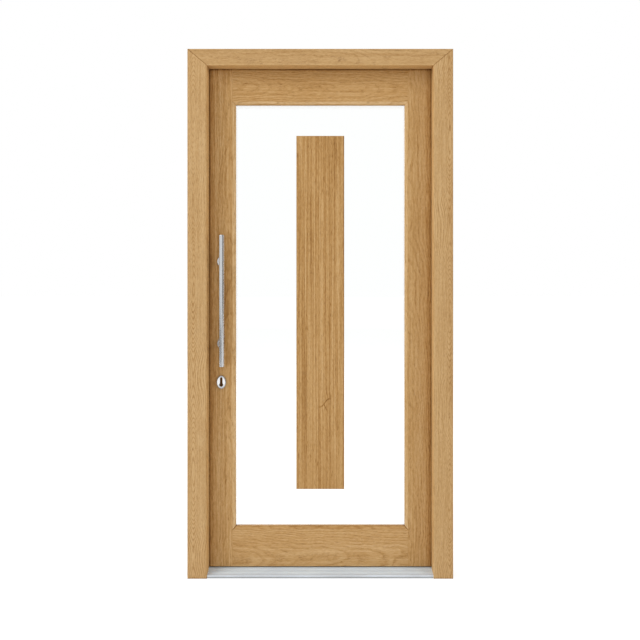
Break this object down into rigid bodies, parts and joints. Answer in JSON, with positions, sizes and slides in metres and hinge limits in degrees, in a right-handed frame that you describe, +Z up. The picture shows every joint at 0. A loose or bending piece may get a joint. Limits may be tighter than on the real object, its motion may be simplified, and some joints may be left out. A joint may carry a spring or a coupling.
{
  "type": "panelled front door",
  "caption": "Inward-opening oak front door in its mitred frame, with a glazed light, an upright board on the glass, a long pull bar, a knob inside and a multi-point lock.",
  "frame": {"origin": "on the floor, under the middle of the frame's width and depth", "axes": "+X to the right seen from outside, +Y into the house, +Z up"},
  "size_m": [1.1, 0.1975, 2.192],
  "materials": {
    "frame_oak": "oiled oak, satin",
    "leaf_oak": "oiled oak, satin",
    "board_oak": "oiled oak with strong straight grain, satin",
    "dowel_beech": "plain turned wood",
    "threshold_metal": "anodised, ribbed",
    "threshold_plastic": "matt",
    "seal_rubber": "matt",
    "clear_glass": "clear float glass",
    "spacer_metal": "mill finish",
    "satin_steel": "fine brushed",
    "polished_steel": "polished",
    "hinge_steel": "satin",
    "lock_steel": "satin",
    "screw_steel": "bright",
    "cylinder_brass": "dark bronze on brass",
    "sweep_rubber": "matt, pale grey"
  },
  "bodies": {
    "frame": {"lock_jamb": "frame_oak", "hinge_jamb": "frame_oak", "frame_head": "frame_oak", "frame_dowels": "dowel_beech", "threshold_outer": "threshold_metal", "threshold_core": "threshold_plastic", "threshold_inner": "threshold_metal", "frame_seal": "seal_rubber", "main_strike": "lock_steel", "upper_strike": "lock_steel", "lower_strike": "lock_steel", "strike_screws": "screw_steel", "hinge_pins": "hinge_steel", "hinge_frame_screws": "screw_steel", "bottom_hinge_frame_wing": "hinge_steel", "middle_hinge_frame_wing": "hinge_steel", "top_hinge_frame_wing": "hinge_steel"},
    "leaf": {"lock_stile": "leaf_oak", "hinge_stile": "leaf_oak", "top_rail": "leaf_oak", "bottom_rail": "leaf_oak", "leaf_dowels": "dowel_beech", "bottom_seal": "sweep_rubber", "outer_pane": "clear_glass", "inner_pane": "clear_glass", "pane_spacer": "spacer_metal", "edge_sealant": "seal_rubber", "glazing_seals": "seal_rubber", "setting_blocks": "threshold_plastic", "bead_left": "leaf_oak", "bead_right": "leaf_oak", "bead_top": "leaf_oak", "bead_bottom": "leaf_oak", "outer_board": "board_oak", "inner_board": "board_oak", "board_tapes": "seal_rubber", "pull_bar": "satin_steel", "lower_pull_post": "satin_steel", "upper_pull_post": "satin_steel", "pull_bolts": "satin_steel", "outer_escutcheon": "polished_steel", "inner_escutcheon": "polished_steel", "knob_rose": "satin_steel", "lock_faceplate": "lock_steel", "faceplate_screws": "screw_steel", "main_lock_case": "lock_steel", "upper_bolt_case": "lock_steel", "lower_bolt_case": "lock_steel", "cylinder_body": "cylinder_brass", "hinge_leaf_screws": "screw_steel", "bottom_hinge_leaf_wing": "hinge_steel", "middle_hinge_leaf_wing": "hinge_steel", "top_hinge_leaf_wing": "hinge_steel"},
    "knob": {"oval_knob": "satin_steel", "latch_follower": "lock_steel"},
    "latch": {"latch_bolt": "lock_steel"},
    "deadbolt": {"dead_bolt": "lock_steel"},
    "top_bolt": {"upper_bolt": "lock_steel"},
    "low_bolt": {"lower_bolt": "lock_steel"},
    "plug": {"key_plug": "cylinder_brass"}
  },
  "joints": [
    {"name": "door_swing", "type": "hinge", "parent": "frame", "child": "leaf", "pos_m": [0.484, 0.0735, 1.082], "axis": [0, 0, -1], "range_deg": [0, 100]},
    {"name": "knob_turn", "type": "hinge", "parent": "leaf", "child": "knob", "pos_m": [-0.417, 0.03, 0.888], "axis": [0, 1, 0], "range_deg": [0, 40], "stiffness_Nm_per_rad": 1.5, "springref_deg": -22.92},
    {"name": "latch_slide", "type": "slide", "parent": "leaf", "child": "latch", "axis": [1, 0, 0], "range_m": [0, 0.012]},
    {"name": "deadbolt_slide", "type": "slide", "parent": "leaf", "child": "deadbolt", "axis": [-1, 0, 0], "range_m": [0, 0.02]},
    {"name": "upper_bolt_slide", "type": "slide", "parent": "leaf", "child": "top_bolt", "axis": [-1, 0, 0], "range_m": [0, 0.02]},
    {"name": "lower_bolt_slide", "type": "slide", "parent": "leaf", "child": "low_bolt", "axis": [-1, 0, 0], "range_m": [0, 0.02]},
    {"name": "key_turn", "type": "hinge", "parent": "leaf", "child": "plug", "pos_m": [-0.417, 0.03, 0.794], "axis": [0, 1, 0], "range_deg": [0, 360]}
  ],
  "couplings": [
    {"joint": "latch_slide", "follows": "knob_turn", "m_per_rad": 0.01718},
    {"joint": "key_turn", "follows": "deadbolt_slide", "rad_per_m": 314.15},
    {"joint": "upper_bolt_slide", "follows": "deadbolt_slide", "ratio": 1},
    {"joint": "lower_bolt_slide", "follows": "deadbolt_slide", "ratio": 1}
  ]
}
